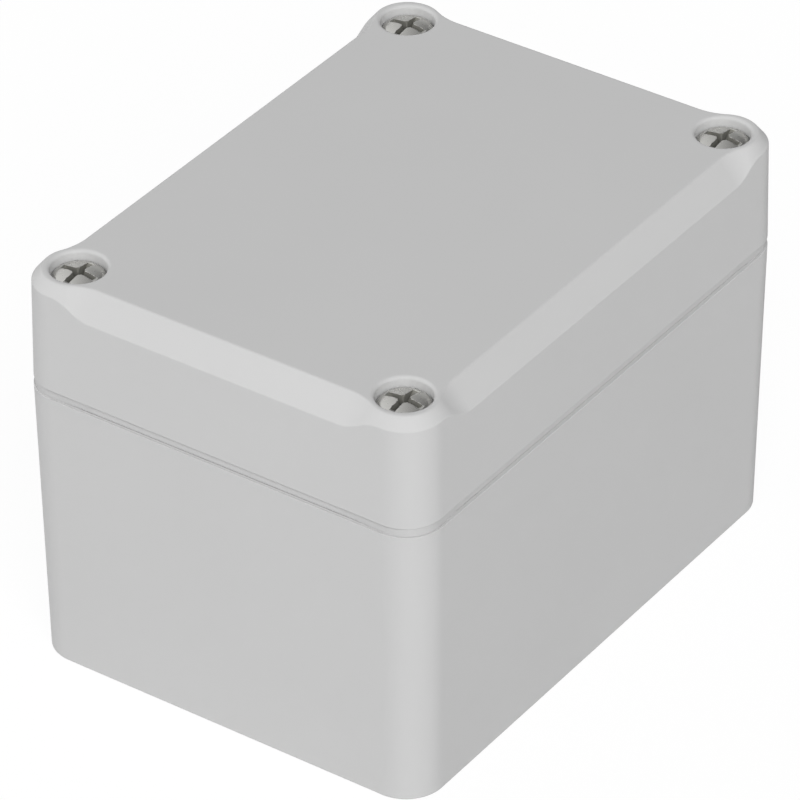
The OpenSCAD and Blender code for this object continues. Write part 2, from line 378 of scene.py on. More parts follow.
# %% Sections of one lid corner
band_height = 0.95 * mm
band_z = seam_z + band_height
band_recess = 0.28 * mm
band_corner_radius = 3.62 * mm
parting_round = 0.26 * mm
parting_corner_round = 0.03 * mm
parting_ease = 2.0 * mm
band_round = 0.05 * mm
band_round_share = 0.25
lower_round = 0.18 * mm
lower_round_share = 0.65
foot_soft = 0.3 * mm
top_soft = 0.35 * mm
top_land = 0.2 * mm
run_rounds = 5


def reach(x, y, turn, out, radius):
    """How far it is from a point, in its direction, to an outline with rounded corners."""
    side = (out - x) / math.cos(turn)
    centre = out - radius
    if y + side * math.sin(turn) <= centre:
        return side
    start = Vector((x - centre, y - centre))
    along = start.dot(Vector((math.cos(turn), math.sin(turn))))
    return math.sqrt(along ** 2 - start.length_squared + radius ** 2) - along


def lid_section(x, y, turn):
    """The lid's outside below one point of the top's edge, from the seam upwards."""
    run = 0
    for _ in range(run_rounds):
        run = reach(x, y, turn, wall_top + chamfer_slope * run * draft, corner_radius)
    band = reach(x, y, turn, screw_inset - band_recess, band_corner_radius)
    wall_start = reach(x, y, turn, screw_inset - band_height * draft, corner_radius)
    straight = min(max(-y / parting_ease, 0), 1)
    parting = parting_corner_round + (parting_round - parting_corner_round) * straight
    overhang = wall_start - band
    section = soften([
        (band - CLEAR * parting, seam_z, 0),
        (band, seam_z, parting),
        (band, band_z, min(band_round, band_round_share * overhang)),
        (wall_start, band_z, min(lower_round, lower_round_share * overhang)),
        (run, top_z - chamfer_slope * run, foot_soft),
        (0, top_z, top_soft),
        (-top_land, top_z, 0)])
    return [(x + across * math.cos(turn), y + across * math.sin(turn), z) for across, z in section]


def lid_rings():
    """Rings of the lid's outside, from the seam up to the flat top."""
    half = [lid_section(*column) for column in edge_columns()]
    mirrored = [[(y, x, z) for x, y, z in section] for section in half[-2::-1]]
    return [ring(list(corner)) for corner in zip(*half, *mirrored)]


outer_rings = lid_rings()
print("the lid's outer skin has", len(outer_rings), "rings of", len(outer_rings[0]), "points")

# %% [markdown]
# ## The seal's path
#
# Inside, the walls don't run straight into the corners: they swing round the columns that hold the screws,
# so that the screws stay outside the sealed space. The tongue on the base, the groove in the lid and the
# gasket all follow this one path. It is drawn with true parallel arcs, because a scaled copy would pinch
# the groove in the corners.

# %% Path of the seal
wall = 3.0 * mm
column_radius = 5.6 * mm
column_fillet = 1.5 * mm


def seal_corner(grown, arc_steps=20, fillet_steps=6):
    """The inner outline at a corner, grown outwards: wall, hollow, column, hollow, wall."""
    line = screw_inset - wall + grown
    column = column_radius - grown
    hollow = column_fillet + grown
    side = line - hollow
    along = math.sqrt((column + hollow) ** 2 - side ** 2)
    sweep = math.atan2(along, side)
    first = []
    for i in range(fillet_steps + 1):
        a = (math.pi - sweep) * i / fillet_steps
        first.append((side + hollow * math.cos(a), -along + hollow * math.sin(a)))
    middle = []
    for i in range(1, arc_steps):
        a = -sweep + (2 * sweep - 3 * QUARTER) * i / arc_steps
        middle.append((column * math.cos(a), column * math.sin(a)))
    return first + middle + [(y, x) for x, y in reversed(first)]


def seal_rings(section):
    """Rings along the seal's path for a section of (grown, height) points."""
    return [level_ring(seal_corner(grown), z) for grown, z in section]


print("the seal's path has", 4 * len(seal_corner(0)), "points")

# %% [markdown]
# ## The lid
#
# With the rules in place the lid is put together as it is moulded, in one closed skin: the outer rings, the
# flat top, the four stepped bores for the screws, the flat rim, the gasket groove and the hollow under the
# top. The mouths of the bores are well rounded, and their bright lips are what the eye finds first.

# %% The lid
seal_lip = 0.6 * mm
groove_width = 1.6 * mm
groove_top_z = gasket_high.z
top_thickness = 2.8 * mm
inner_round = 1.0 * mm
inner_clear = 1.03
head_dome = 0.45 * mm
head_height = 1.75 * mm
rim_z = screw_high.z - head_dome
seat_z = rim_z - head_height
neck_radius = 1.1 * mm
neck_gap = 0.2 * mm
neck_hole_radius = neck_radius + neck_gap
thread_radius = 1.45 * mm
pocket_gap = 0.35 * mm
pocket_radius = thread_radius + pocket_gap
web_thickness = 2.5 * mm
web_z = seat_z - web_thickness
mouth_round = 0.2 * mm
fine_round = 0.1 * mm
counterbore_round = 0.36 * mm


def hollow_section(end_z):
    """Corners of the moulded hollow, from the rim to the flat at end_z, with draft and a rounded edge."""
    narrowed = -abs(end_z - seam_z) * draft
    return [(0, seam_z, fine_round), (narrowed, end_z, inner_round),
            (narrowed - inner_clear * inner_round, end_z, 0)]


def build_lid():
    bm = bmesh.new()
    outside = skin(bm, outer_rings)
    groove = seal_lip + groove_width
    inside = skin(bm, seal_rings(soften([
        (groove + 2 * fine_round, seam_z, 0), (groove, seam_z, fine_round),
        (groove, groove_top_z, fine_round), (seal_lip, groove_top_z, fine_round),
        (seal_lip, seam_z, fine_round), *hollow_section(top_z - top_thickness)])))
    bore = soften([
        (counterbore_radius + CLEAR * counterbore_round, top_z, 0),
        (counterbore_radius, top_z, counterbore_round),
        (counterbore_radius, seat_z, fine_round), (neck_hole_radius, seat_z, fine_round),
        (neck_hole_radius, web_z, fine_round), (pocket_radius, web_z, fine_round),
        (pocket_radius, seam_z, mouth_round), (pocket_radius + CLEAR * mouth_round, seam_z, 0)])
    bores = [turned(bm, bore, centre) for centre in at_four(screw_x, screw_y)]
    fill(bm, [outside[-1], *(b[0] for b in bores)])
    fill(bm, [outside[0], inside[0], *(b[-1] for b in bores)])
    fill(bm, [inside[-1]])
    return finished(bm, "lid_cover", plastic)


lid_cover = build_lid()

# %% [markdown]
# ## The base
#
# The base is the deeper half of the box. From outside it is a plain drafted wall that ends at the seam,
# where its narrow top edge shows as a fine line below the lid's recessed band. The screws pull the lid tight
# at the corners, and along the sides a hairline gap stays open. Inside, the base has the tongue that presses
# on the gasket, the holes for the threaded inserts, and four bosses for a circuit board. Pilot holes in the
# underside take screws from a wall or a plate.

# %% The base
foot_round = 0.1 * mm
rim_round = 0.03 * mm
relief_width = 0.3 * mm
relief_depth = 0.03 * mm
floor_z = 3.0 * mm
tongue_width = 0.8 * mm
tongue_in = seal_lip + (groove_width - tongue_width) / 2
tongue_round = 0.2 * mm
insert_radius = (insert_high.x - insert_low.x) / 2
insert_gap = 0.02 * mm
insert_hole_radius = insert_radius + insert_gap
swarf_room = 2.0 * mm
insert_hole_z = insert_low.z - swarf_room
wall_pilot_radius = mounts["wall_fixing"]["dims"]["hole_r_mm"] * mm
wall_pilot_depth = 14.0 * mm
board_pilot_radius = mounts["board_bosses"]["dims"]["hole_r_mm"] * mm
board_pilot_depth = 5.0 * mm
board_top_z = mounts["board_bosses"]["pos_m"][2]
board_x = mounts["board_bosses"]["dims"]["spacing_x_mm"] / 2 * mm
board_y = mounts["board_bosses"]["dims"]["spacing_y_mm"] / 2 * mm
board_boss_radius = 2.5 * mm
board_boss_fillet = 0.35 * mm


def base_wall(z):
    """Distance from the screw axis to the base's drafted wall."""
    return screw_inset - (seam_z - z) * draft


def relief_ring(out):
    """The bottom of the hairline gap in the rim, which runs out towards the middle of each corner."""
    corner = round_corner(out)
    turns = [math.pi * i / (len(corner) - 1) for i in range(len(corner))]
    return ring([(x, y, seam_z - relief_depth * (1 - math.sin(a))) for (x, y), a in zip(corner, turns)])


def build_base():
    bm = bmesh.new()
    wall_rings = [level_ring(round_corner(out), z) for out, z in soften([
        (base_wall(0) - 2 * foot_round, 0, 0), (base_wall(0), 0, foot_round),
        (screw_inset, seam_z, rim_round), (screw_inset - 2 * rim_round, seam_z, 0)])]
    rim_end = level_ring(round_corner(screw_inset - relief_width - relief_depth), seam_z)
    outside = skin(bm, [*wall_rings, relief_ring(screw_inset - relief_width), rim_end])
    tongue_out = tongue_in + tongue_width
    inside = skin(bm, seal_rings(soften([
        (tongue_out + 2 * fine_round, seam_z, 0), (tongue_out, seam_z, fine_round),
        (tongue_out, base_high.z, tongue_round), (tongue_in, base_high.z, tongue_round),
        (tongue_in, seam_z, fine_round), *hollow_section(floor_z)])))
    insert_hole = soften([
        (insert_hole_radius + 2 * fine_round, seam_z, 0), (insert_hole_radius, seam_z, fine_round),
        (insert_hole_radius, insert_hole_z, fine_round), (0, insert_hole_z, 0)])
    wall_pilot = soften([
        (wall_pilot_radius + CLEAR * mouth_round, 0, 0), (wall_pilot_radius, 0, mouth_round),
        (wall_pilot_radius, wall_pilot_depth, fine_round), (0, wall_pilot_depth, 0)])
    board_pilot_z = board_top_z - board_pilot_depth
    board_boss = soften([
        (board_boss_radius + CLEAR * board_boss_fillet, floor_z, 0),
        (board_boss_radius, floor_z, board_boss_fillet),
        (board_boss_radius, board_top_z, mouth_round), (board_pilot_radius, board_top_z, mouth_round),
        (board_pilot_radius, board_pilot_z, fine_round), (0, board_pilot_z, 0)])
    insert_holes = [turned(bm, insert_hole, centre) for centre in at_four(screw_x, screw_y)]
    wall_pilots = [turned(bm, wall_pilot, centre) for centre in at_four(screw_x, screw_y)]
    board_bosses = [turned(bm, board_boss, centre) for centre in at_four(board_x, board_y)]
    fill(bm, [outside[0], *(w[0] for w in wall_pilots)])
    fill(bm, [outside[-1], inside[0], *(h[0] for h in insert_holes)])
    fill(bm, [inside[-1], *(b[0] for b in board_bosses)])
    return finished(bm, "base_shell", plastic)


base_shell = build_base()

# %% [markdown]
# ## Metals
#
# The lid screws are bright steel and the inserts are brass, both turned on a lathe. A lathe leaves fine
# rings about the axis. The rings have to follow each screw's own axis, and not the middle of the box, so the
# pieces carry their place on the lathe as an attribute called `lathe_place`, and the material reads that.
# The floor of the driver recess is punched and not turned, so it is duller; it is also darker, and that
# darker colour is painted shade for the recess.

# %% Turned metal, and punched metal with painted shade
SMEAR_TONE = 0.9


def turned_metal(name, colour, smooth, rough, ring_depth):
    """A metal with turning rings, and smears that are darker and rougher than the rest."""
    material, add, shade = new_material(name)
    place = add("ShaderNodeAttribute", attribute_name="lathe_place")["Vector"]
    flat = add("ShaderNodeVectorMath", {0: place, 1: (1, 1, 0)}, operation="MULTIPLY")["Vector"]
    radius = add("ShaderNodeVectorMath", {0: flat}, operation="LENGTH")["Value"]
    rings = add("ShaderNodeTexNoise", {"W": radius, "Scale": 9000.0, "Detail": 2.0}, noise_dimensions="1D")
    smears = noise(add, place, scale=1500.0, detail=3.0)
    darker = tuple(SMEAR_TONE * c for c in colour)
    shade({"Base Color": ramp(add, smears, low=(*darker, 1), high=(*colour, 1)),
           "Roughness": ramp(add, smears, low=rough, high=smooth),
           "Normal": bumps(add, rings["Fac"], strength=0.25, distance=ring_depth),
           "Metallic": 1})
    return material


steel = turned_metal("turned_steel", (0.65, 0.645, 0.62), smooth=0.22, rough=0.34, ring_depth=0.004 * mm)
# The recess metal is rougher for its punched finish, and its dark colour is painted shade that darkens the
# cross in each head.
recess_metal_painted_shade = turned_metal("punched_recess_painted_shade", (0.33, 0.326, 0.3), smooth=0.72, rough=0.85, ring_depth=0.002 * mm)
brass = turned_metal("turned_brass", (0.72, 0.50, 0.20), smooth=0.24, rough=0.36, ring_depth=0.004 * mm)
print("made", steel.name, recess_metal_painted_shade.name, brass.name)

# %% [markdown]
# ## One lid screw on the lathe
#
# The screw is first made once, on its own axis: a domed head, a thin neck that keeps it captive in the lid,
# and a shank as thick as the finished thread. The shank has ten rings to each turn of the thread, so that
# the thread can be cut into it later. The head's rim is well rounded, and the dome starts inside it.

# %% The screw's section
thread_start = 0.45 * mm
thread_top_z = seam_z - thread_start
tip_z = screw_low.z
tip_break = 0.4 * mm
tip_round = 0.05 * mm
pitch = 0.5 * mm
thread_steps = 10
seat_round = 0.15 * mm
rim_soft = 0.65 * mm
dome_z = screw_high.z
dome_radius = (head_radius ** 2 + head_dome ** 2) / (2 * head_dome)
dome_steps = 9
rim_steps = 2


def screw_section():
    """Corners of the screw's half section, from its tip to the top of its dome."""
    shank_z = tip_z + tip_break
    shank_length = thread_top_z - shank_z
    count = round(shank_length / pitch * thread_steps)
    shank = [(thread_radius, shank_z + shank_length * i / count, 0) for i in range(count + 1)]
    across = [head_radius * (1 - i / dome_steps) for i in range(rim_steps, dome_steps + 1)]
    dome = [(r, dome_z - dome_radius + math.sqrt(dome_radius ** 2 - r ** 2), 0) for r in across]
    return [(0, tip_z, 0), (thread_radius - tip_break, tip_z, tip_round), *shank,
            (neck_radius, thread_top_z + thread_radius - neck_radius, fine_round),
            (neck_radius, seat_z, fine_round), (head_radius, seat_z, seat_round),
            (head_radius, rim_z, rim_soft), *dome]


print("the screw's section has", len(soften(screw_section())), "points")

# %% [markdown]
# ## The cross in the head
#
# The cross for the driver is cut with Booleans, as the punch does it: two crossed wings and a tapered core.
# The cutters carry the punched material with its painted shade, and the cut faces take that over. Once the
# result is a plain mesh, the blank and its cutters have done their work.

# %% The cross in the head
cross_depth = 1.0 * mm
cross_z = rim_z - cross_depth
cross_width = 0.6 * mm
cross_top_length = 4.3 * mm
cross_floor_length = 1.2 * mm
core_top_radius = 0.65 * mm
core_floor_radius = 0.4 * mm


def prism(bm, outline, width, along_x):
    """A straight prism of that width, whose outline of (along, height) points lies along X or Y."""
    sides = []
    for offset in (-width / 2, width / 2):
        points = [(a, offset, z) if along_x else (offset, a, z) for a, z in outline]
        sides.append(bm.faces.new([bm.verts.new(p) for p in points]))
    low, high = (list(f.verts) for f in sides)
    for i in range(len(low)):
        j = (i + 1) % len(low)
        bm.faces.new((low[i], low[j], high[j], high[i]))


def cutter(bm, name):
    """A hidden tool for the Boolean, all in the punched material, whose dark colour is painted shade."""
    made = finished(bm, name, steel, recess_metal_painted_shade)
    made.data.polygons.foreach_set("material_index", [1] * len(made.data.polygons))
    made.hide_render = True
    return made


def cross_cutters():
    """Two crossed wings and the tapered core of the driver recess."""
    clear_z = dome_z + head_dome
    half_low, half_high = cross_floor_length / 2, cross_top_length / 2
    wing = [(-half_low, cross_z), (half_low, cross_z), (half_high, dome_z), (half_high, clear_z),
            (-half_high, clear_z), (-half_high, dome_z)]
    core = [(0, cross_z), (core_floor_radius, cross_z), (core_top_radius, dome_z),
            (core_top_radius, clear_z), (0, clear_z)]
    tools = []
    for name, along_x in (("wing_along_x", True), ("wing_along_y", False)):
        bm = bmesh.new()
        prism(bm, wing, cross_width, along_x)
        tools.append(cutter(bm, name))
    bm = bmesh.new()
    turned(bm, core, steps=24)
    return [*tools, cutter(bm, "core")]


def screw_blank():
    bm = bmesh.new()
    turned(bm, soften(screw_section()), steps=72)
    blank = finished(bm, "screw_blank", steel, recess_metal_painted_shade)
    blank.modifiers.clear()
    cutters = cross_cutters()
    for tool in cutters:
        cut = blank.modifiers.new(tool.name, "BOOLEAN")
        cut.object = tool
        cut.solver = "EXACT"
        cut.material_mode = "INDEX"
    return blank, cutters


def evaluated_mesh(obj, name):
    """A plain mesh of what the object's modifiers make."""
    graph = bpy.context.evaluated_depsgraph_get()
    mesh = bpy.data.meshes.new_from_object(obj.evaluated_get(graph))
    mesh.name = name
    return mesh


blank, cutters = screw_blank()
cut_mesh = evaluated_mesh(blank, "screw_blank_cut")
for tool in [*cutters, blank]:
    bpy.data.objects.remove(tool)
print("the cut blank has", len(cut_mesh.polygons), "faces")

# %% [markdown]
# ## A tree that cuts the thread and sets the part in its corner
#
# Four equal screws and four equal inserts are work for Geometry Nodes. The tree keeps the place on the
# lathe as an attribute, and then cuts the thread as a die does: each point on the shank moves in by a wave
# that climbs one pitch per turn and fades out at both ends. A grid of two by two points gives the four
# corners, and the part is instanced on the chosen one or on all. At the end the instances are made real,
# because an export would drop them.

# %% Tree for turned parts
LATHE_INPUTS = {
    "Thread Radius": "NodeSocketFloat", "Thread Depth": "NodeSocketFloat", "Pitch": "NodeSocketFloat",
    "Thread Bottom": "NodeSocketFloat", "Thread Top": "NodeSocketFloat", "Run-out": "NodeSocketFloat",
    "Spacing X": "NodeSocketFloat", "Spacing Y": "NodeSocketFloat", "Corner": "NodeSocketInt",
    "Every Corner": "NodeSocketBool", "Metal": "NodeSocketMaterial", "Recess": "NodeSocketMaterial",
}
thread_reach = 0.01 * mm


def new_tree(name, inputs):
    """A Geometry Nodes tree with named inputs, its input and output sockets and its adder."""
    tree = bpy.data.node_groups.new(name, "GeometryNodeTree")
    tree.interface.new_socket("Geometry", in_out="INPUT", socket_type="NodeSocketGeometry")
    tree.interface.new_socket("Geometry", in_out="OUTPUT", socket_type="NodeSocketGeometry")
    for label, kind in inputs.items():
        tree.interface.new_socket(label, in_out="INPUT", socket_type=kind)
    given = tree.nodes.new("NodeGroupInput").outputs
    result = tree.nodes.new("NodeGroupOutput").inputs["Geometry"]
    return tree, given, result, adder(tree)


def lathe_tree():
    tree, given, result, add = new_tree("turned_part_at_corners", LATHE_INPUTS)

    def math_of(operation, a, b=0.0):
        return add("ShaderNodeMath", {0: a, 1: b}, operation=operation)["Value"]

    def ease(z, start, end):
        return add("ShaderNodeMapRange", {"Value": z, "From Min": start, "From Max": end},
                   interpolation_type="SMOOTHSTEP")["Result"]

    place = add("GeometryNodeInputPosition")["Position"]
    kept = add("GeometryNodeStoreNamedAttribute",
               {"Geometry": given["Geometry"], "Name": "lathe_place", "Value": place},
               data_type="FLOAT_VECTOR", domain="POINT")["Geometry"]
    x, y, z = add("ShaderNodeSeparateXYZ", {"Vector": place})
    outward = add("ShaderNodeCombineXYZ", {"X": x, "Y": y})["Vector"]
    radius = add("ShaderNodeVectorMath", {0: outward}, operation="LENGTH")["Value"]
    on_thread = add("FunctionNodeCompare",
                    {"A": radius, "B": given["Thread Radius"], "Epsilon": thread_reach},
                    data_type="FLOAT", operation="EQUAL")["Result"]
    turns = math_of("DIVIDE", math_of("ARCTAN2", y, x), 2 * math.pi)
    climb = math_of("SUBTRACT", math_of("DIVIDE", z, given["Pitch"]), turns)
    wave = math_of("COSINE", math_of("MULTIPLY", climb, 2 * math.pi))
    groove = math_of("MULTIPLY", math_of("SUBTRACT", 1.0, wave), 0.5)
    begins = ease(z, given["Thread Bottom"], math_of("ADD", given["Thread Bottom"], given["Run-out"]))
    ends = ease(z, given["Thread Top"], math_of("SUBTRACT", given["Thread Top"], given["Run-out"]))
    fade = math_of("MULTIPLY", begins, ends)
    depth = math_of("MULTIPLY", math_of("MULTIPLY", groove, given["Thread Depth"]), fade)
    direction = add("ShaderNodeVectorMath", {0: outward}, operation="NORMALIZE")["Vector"]
    inward = add("ShaderNodeVectorMath", {0: direction, "Scale": math_of("MULTIPLY", depth, -1.0)},
                 operation="SCALE")["Vector"]
    threaded = add("GeometryNodeSetPosition",
                   {"Geometry": kept, "Selection": on_thread, "Offset": inward})["Geometry"]

    corners = add("GeometryNodeMeshGrid", {"Size X": given["Spacing X"], "Size Y": given["Spacing Y"],
                                           "Vertices X": 2, "Vertices Y": 2})["Mesh"]
    index = add("GeometryNodeInputIndex")["Index"]
    chosen = add("FunctionNodeCompare", {2: index, 3: given["Corner"]},
                 data_type="INT", operation="EQUAL")["Result"]
    wanted = add("FunctionNodeBooleanMath", {0: chosen, 1: given["Every Corner"]},
                 operation="OR")["Boolean"]
    placed = add("GeometryNodeInstanceOnPoints",
                 {"Points": corners, "Selection": wanted, "Instance": threaded})["Instances"]
    real = add("GeometryNodeRealizeInstances", {"Geometry": placed})["Geometry"]
    in_recess = add("GeometryNodeMaterialSelection", {"Material": given["Recess"]})["Selection"]
    elsewhere = add("FunctionNodeBooleanMath", {0: in_recess}, operation="NOT")["Boolean"]
    dressed = add("GeometryNodeSetMaterial",
                  {"Geometry": real, "Selection": elsewhere, "Material": given["Metal"]})["Geometry"]
    tree.links.new(dressed, result)
    return tree


turned_parts = lathe_tree()
print("the tree has", len(turned_parts.nodes), "nodes")

# %% [markdown]
# ## Four lid screws
#
# Each screw turns in the lid by itself, so each is a mesh of its own that rides on its own body. The
# modifier's inputs are set by their identifiers, then the evaluated result becomes a plain mesh.

# %% The lid screws
def grown(source, tree, name, values):
    """A plain piece from a mesh and a tree whose named inputs take these values."""
    carrier = in_scene(name, source)
    modifier = carrier.modifiers.new(tree.name, "NODES")
    modifier.node_group = tree
    for item in tree.interface.items_tree:
        if item.in_out == "INPUT" and item.name in values:
            modifier[item.identifier] = values[item.name]
    mesh = evaluated_mesh(carrier, name)
    carrier.modifiers.remove(modifier)
    carrier.data = mesh
    flats_shade_flat(carrier)
    print(f"{name}: {len(mesh.polygons)} faces, materials {[m.name for m in mesh.materials]}")
    return carrier


thread_depth = 0.27 * mm
corner_spacing = {"Spacing X": 2 * screw_x, "Spacing Y": 2 * screw_y}
corner_names = ["front_left", "rear_left", "front_right", "rear_right"]
screws = {}
for number, corner in enumerate(corner_names):
    screws[corner] = grown(cut_mesh, turned_parts, f"captive_screw_{corner}", {
        "Thread Radius": thread_radius, "Thread Depth": thread_depth, "Pitch": pitch,
        "Thread Bottom": tip_z + tip_break, "Thread Top": thread_top_z, "Run-out": pitch,
        "Corner": number, "Metal": steel, "Recess": recess_metal_painted_shade, **corner_spacing})

# %% [markdown]
# ## Threaded inserts
#
# An insert is a small turned bush with two knurled bands, pressed warm into the base's corner columns. The
# knurl bites into the plastic and is seen only on the bench, and the thread shows when the lid is off.
# The same tree cuts the inner thread, with a negative depth, so the grooves go outwards into the brass.

# %% The inserts
thread_gap = 0.05 * mm
bore_radius = thread_radius + thread_gap
inner_thread_depth = 0.25 * mm
inner_run_out = 0.2 * mm
knurl_band = 2.4 * mm
insert_groove_depth = 0.35 * mm
knurl_depth = 0.12 * mm
knurl_count = 24
knurl_points = 4


def insert_blank():
    bm = bmesh.new()
    waist = insert_radius - insert_groove_depth
    low_band, high_band = insert_low.z + knurl_band, insert_high.z - knurl_band
    length = insert_high.z - insert_low.z
    count = round(length / pitch * thread_steps)
    bore = [(bore_radius, insert_high.z - length * i / count, 0) for i in range(1, count)]
    section = soften([
        (bore_radius, insert_low.z, 0), (insert_radius, insert_low.z, mouth_round),
        (insert_radius, low_band, fine_round), (waist, low_band, 0),
        (waist, high_band, 0), (insert_radius, high_band, fine_round),
        (insert_radius, insert_high.z, mouth_round), (bore_radius, insert_high.z, 0), *bore])
    loops = turned(bm, section, steps=knurl_count * knurl_points)
    for (radius, _), loop in zip(section, loops):
        if radius > insert_radius - SAME_POINT:
            for number, vertex in enumerate(loop):
                valley = (number % knurl_points) / knurl_points
                vertex.co.xy *= 1 - knurl_depth / radius * (1 - abs(2 * valley - 1))
    last, first = loops[-1], loops[0]
    for i in range(len(first)):
        j = (i + 1) % len(first)
        bm.faces.new((last[i], last[j], first[j], first[i]))
    return finished(bm, "insert_blank", brass)


bush = insert_blank()
bush_mesh = bush.data
bpy.data.objects.remove(bush)
inserts = grown(bush_mesh, turned_parts, "threaded_inserts", {
    "Thread Radius": bore_radius, "Thread Depth": -inner_thread_depth, "Pitch": pitch,
    "Thread Bottom": insert_low.z, "Thread Top": insert_high.z, "Run-out": inner_run_out,
    "Every Corner": True, "Metal": brass, **corner_spacing})

# %% [markdown]
# ## The gasket
#
# The gasket is one ring of black elastomer that lies in the lid's groove and follows the seal's path. It is
# a section swept along a closed line, which Curve to Mesh does well, so the tree takes the line as the
# modifier's own mesh and has the section's width, height and rounding as inputs.

# %% Gasket rubber and sweep
gasket_room = 0.1 * mm
gasket_edge = 0.25 * mm
edge_steps = 4


def gasket_rubber():
    material, add, shade = new_material("black_elastomer")
    place = add("ShaderNodeTexCoord")["Object"]
    bloom = noise(add, place, scale=900.0, detail=3.0)
    grain = noise(add, place, scale=7000.0, detail=2.0)
    shade({"Base Color": ramp(add, bloom, low=0.018, high=0.034),
           "Roughness": ramp(add, bloom, low=0.55, high=0.75),
           "Normal": bumps(add, grain, strength=0.2, distance=0.01 * mm)})
    return material


def sweep_tree():
    tree, given, result, add = new_tree("section_along_path", {
        "Width": "NodeSocketFloat", "Height": "NodeSocketFloat", "Edge Radius": "NodeSocketFloat",
        "Rubber": "NodeSocketMaterial"})
    path = add("GeometryNodeMeshToCurve", {"Mesh": given["Geometry"]})["Curve"]
    upright = add("GeometryNodeSetCurveNormal", {"Curve": path}, mode="Z_UP")["Curve"]
    box = add("GeometryNodeCurvePrimitiveQuadrilateral",
              {"Width": given["Width"], "Height": given["Height"]})["Curve"]
    section = add("GeometryNodeFilletCurve",
                  {"Curve": box, "Radius": given["Edge Radius"], "Count": edge_steps}, mode="POLY")["Curve"]
    swept = add("GeometryNodeCurveToMesh", {"Curve": upright, "Profile Curve": section})["Mesh"]
    real = add("GeometryNodeRealizeInstances", {"Geometry": swept})["Geometry"]
    dressed = add("GeometryNodeSetMaterial", {"Geometry": real, "Material": given["Rubber"]})["Geometry"]
    tree.links.new(dressed, result)
    return tree


def path_mesh(points):
    count = len(points)
    mesh = bpy.data.meshes.new("seal_path")
    mesh.from_pydata(points, [(i, (i + 1) % count) for i in range(count)], [])
    return mesh


gasket_line = seal_corner(seal_lip + groove_width / 2)
gasket_path = path_mesh(level_ring(gasket_line, (gasket_low.z + gasket_high.z) / 2))
gasket = grown(gasket_path, sweep_tree(), "gasket_ring", {
    "Width": groove_width - 2 * gasket_room, "Height": gasket_high.z - gasket_low.z,
    "Edge Radius": gasket_edge, "Rubber": gasket_rubber()})

# %% [markdown]
# ## Riding on the part's bodies
#
# Each dressed piece now takes the place of its plain node and moves with the same body: the gasket goes up
# with the lid, the inserts stay in the base, and each screw turns by itself.

# %% Ride and replace
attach(lid_cover, "lid")
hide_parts("lid")
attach(base_shell, "base")
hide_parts("base")
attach(gasket, "lid")
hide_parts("gasket")
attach(inserts, "base")
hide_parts(*(f"insert_{corner}" for corner in corner_names))
for corner, screw in screws.items():
    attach(screw, f"screw_{corner}")
    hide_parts(f"lid_screw_{corner}")
print("every node is stood for")

# %% [markdown]
# ## Camera
#
# The camera stands where the photograph's edges converge: above the front left corner, far away, with a
# long lens. The values come from fitting the box's known corners to the picture. The shift is a few pixels,
# because the box doesn't sit quite in the middle of the frame.

# %% Camera
view_azimuth = math.radians(34.958)
view_elevation = math.radians(34.577)
view_roll = math.radians(-0.298)
view_distance = 611.97 * mm
focal_pixels = 6106.2
picture_pixels = 800
centre_shift_pixels = (-7.007, -13.06)
sensor_width = 36
nearest_view = 10 * mm


def outwards(azimuth, elevation):
    """The direction from the object towards a place at these angles."""
    return Vector((-math.cos(azimuth) * math.cos(elevation),
                   -math.sin(azimuth) * math.cos(elevation), math.sin(elevation)))


back = outwards(view_azimuth, view_elevation)
level = Vector((math.sin(view_azimuth), -math.cos(view_azimuth), 0))
right = Matrix.Rotation(view_roll, 3, back) @ level
up = back.cross(right)
camera_data = bpy.data.cameras.new("camera")
camera_data.sensor_width = sensor_width
camera_data.lens = focal_pixels / picture_pixels * sensor_width
camera_data.shift_x, camera_data.shift_y = (s / picture_pixels for s in centre_shift_pixels)
camera_data.clip_start = nearest_view
camera = in_scene("camera", camera_data)
middle = Vector((0, 0, (cad_low.z + cad_high.z) / 2))
turned_to_view = Matrix((right, up, back)).transposed().to_4x4()
camera.matrix_world = Matrix.Translation(middle + back * view_distance) @ turned_to_view
bpy.context.scene.camera = camera
print(f"lens {camera_data.lens:.1f} mm at {view_distance:.3f} m")

# %% [markdown]
# ## Lamps
#
# The picture has the flat, even light of a product table: one large soft lamp close to the camera and a
# small one low on the right. A point lamp would draw hard shadows, so both are square area lamps, and their
# size against their distance sets how soft the shadows are.

# %% Lamps
def lamp(name, azimuth, elevation, distance, size, energy):
    """A square soft lamp that looks at the middle of the object."""
    data = bpy.data.lights.new(name, "AREA")
    data.size = size
    data.energy = energy
    towards = outwards(math.radians(azimuth), math.radians(elevation))
    obj = in_scene(name, data)
    obj.location = middle + towards * distance
    obj.rotation_mode = "QUATERNION"
    obj.rotation_quaternion = towards.to_track_quat("Z", "Y")
    return obj


lamps = [
    lamp("key", azimuth=42, elevation=38.5, distance=3.2, size=2.1, energy=97),
    lamp("side", azimuth=-78, elevation=15, distance=2.0, size=0.8, energy=14),
]
print("lit by", [obj.name for obj in lamps])

# %% [markdown]
# ## Surroundings
#
# Pale surroundings fill the shadows. They are plain white to the camera, and dimmer where they only light a
# surface. Polished metal needs something darker to mirror or it looks like plaster, so in reflections the
# white fades towards the picture's right side.

# %% Surroundings
def seen_directly(add):
    """1 for what the camera, a reflection or clear glass sees, and 0 for what only lights a surface."""
    ray = add("ShaderNodeLightPath")
    seen = add("ShaderNodeMath", {0: ray["Is Camera Ray"], 1: ray["Is Glossy Ray"]}, operation="MAXIMUM")
    return add("ShaderNodeMath", {0: seen["Value"], 1: ray["Is Transmission Ray"]},
               operation="MAXIMUM")["Value"]


